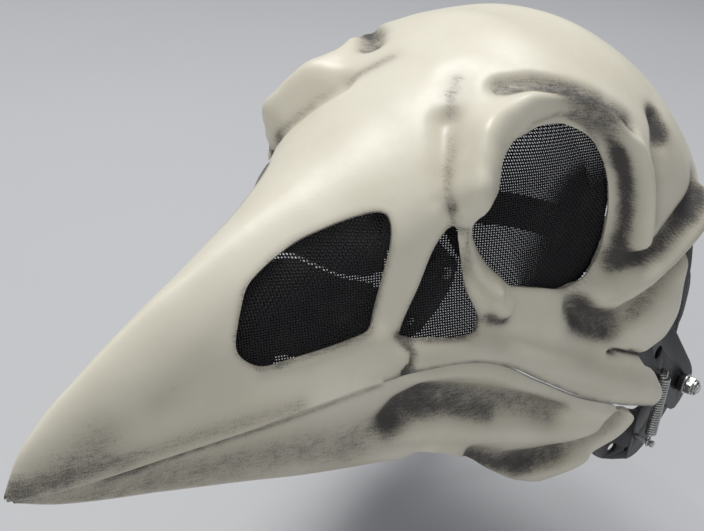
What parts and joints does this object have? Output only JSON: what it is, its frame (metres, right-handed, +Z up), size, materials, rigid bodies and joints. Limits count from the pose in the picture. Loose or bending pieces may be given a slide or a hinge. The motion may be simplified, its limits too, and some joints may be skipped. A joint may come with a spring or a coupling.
{
  "type": "plague doctor mask",
  "caption": "Bird-skull plague doctor mask: hollow bone-coloured skull shell and a lower beak that swings on spring-loaded hinges, with woven eye screens and head straps.",
  "frame": {"origin": "middle of the crown pad's lower face, where the mask rests on the crown of the wearer's head", "axes": "+X to the wearer's left, +Y to the wearer's back (the beak points to -Y), +Z up"},
  "size_m": [0.2156, 0.4233, 0.253],
  "materials": {
    "bone": "satin warm off-white with charcoal dry-brushed shading",
    "screen_mesh": "open black woven mesh",
    "black_steel": "satin black coated steel plate",
    "bright_steel": "zinc-plated steel",
    "black_nylon": "moulded nylon",
    "foam": "fabric-faced foam",
    "webbing": "ribbed nylon webbing"
  },
  "bodies": {
    "skull": {"skull_shell": "bone", "eye_screen_left": "screen_mesh", "eye_screen_right": "screen_mesh", "fenestra_screen_left": "screen_mesh", "fenestra_screen_right": "screen_mesh", "nostril_screen_left": "screen_mesh", "nostril_screen_right": "screen_mesh", "hinge_plate_left": "black_steel", "pivot_bolt_left": "bright_steel", "pivot_washer_left": "black_nylon", "outer_spacer_left": "black_nylon", "outer_washer_left": "bright_steel", "lock_nut_left": "bright_steel", "plate_screw_left_1": "bright_steel", "plate_screw_left_2": "bright_steel", "strap_rivet_left": "bright_steel", "side_strap_left": "webbing", "return_spring_left": "bright_steel", "side_pad_left": "foam", "hinge_plate_right": "black_steel", "pivot_bolt_right": "bright_steel", "pivot_washer_right": "black_nylon", "outer_spacer_right": "black_nylon", "outer_washer_right": "bright_steel", "lock_nut_right": "bright_steel", "plate_screw_right_1": "bright_steel", "plate_screw_right_2": "bright_steel", "strap_rivet_right": "bright_steel", "side_strap_right": "webbing", "return_spring_right": "bright_steel", "side_pad_right": "foam", "crown_pad": "foam", "brow_pad": "foam", "nape_strap": "webbing"},
    "jaw": {"lower_jaw_shell": "bone", "jaw_arm_left": "black_steel", "arm_screw_left_1": "bright_steel", "arm_screw_left_2": "bright_steel", "spring_post_left": "bright_steel", "chin_rivet_left": "bright_steel", "jaw_arm_right": "black_steel", "arm_screw_right_1": "bright_steel", "arm_screw_right_2": "bright_steel", "spring_post_right": "bright_steel", "chin_rivet_right": "bright_steel", "chin_strap": "webbing", "chin_pad": "foam"},
    "slider": {"strap_slider": "black_nylon"}
  },
  "joints": [
    {"name": "jaw_hinge", "type": "hinge", "parent": "skull", "child": "jaw", "pos_m": [0, 0.08, -0.194], "axis": [1, 0, 0], "range_deg": [0, 25], "stiffness_Nm_per_rad": 4, "springref_deg": -17.19, "deforming": ["return_spring_left", "return_spring_right"]},
    {"name": "slider_slide", "type": "slide", "parent": "skull", "child": "slider", "axis": [1, 0, 0], "range_m": [-0.015, 0.015]}
  ]
}
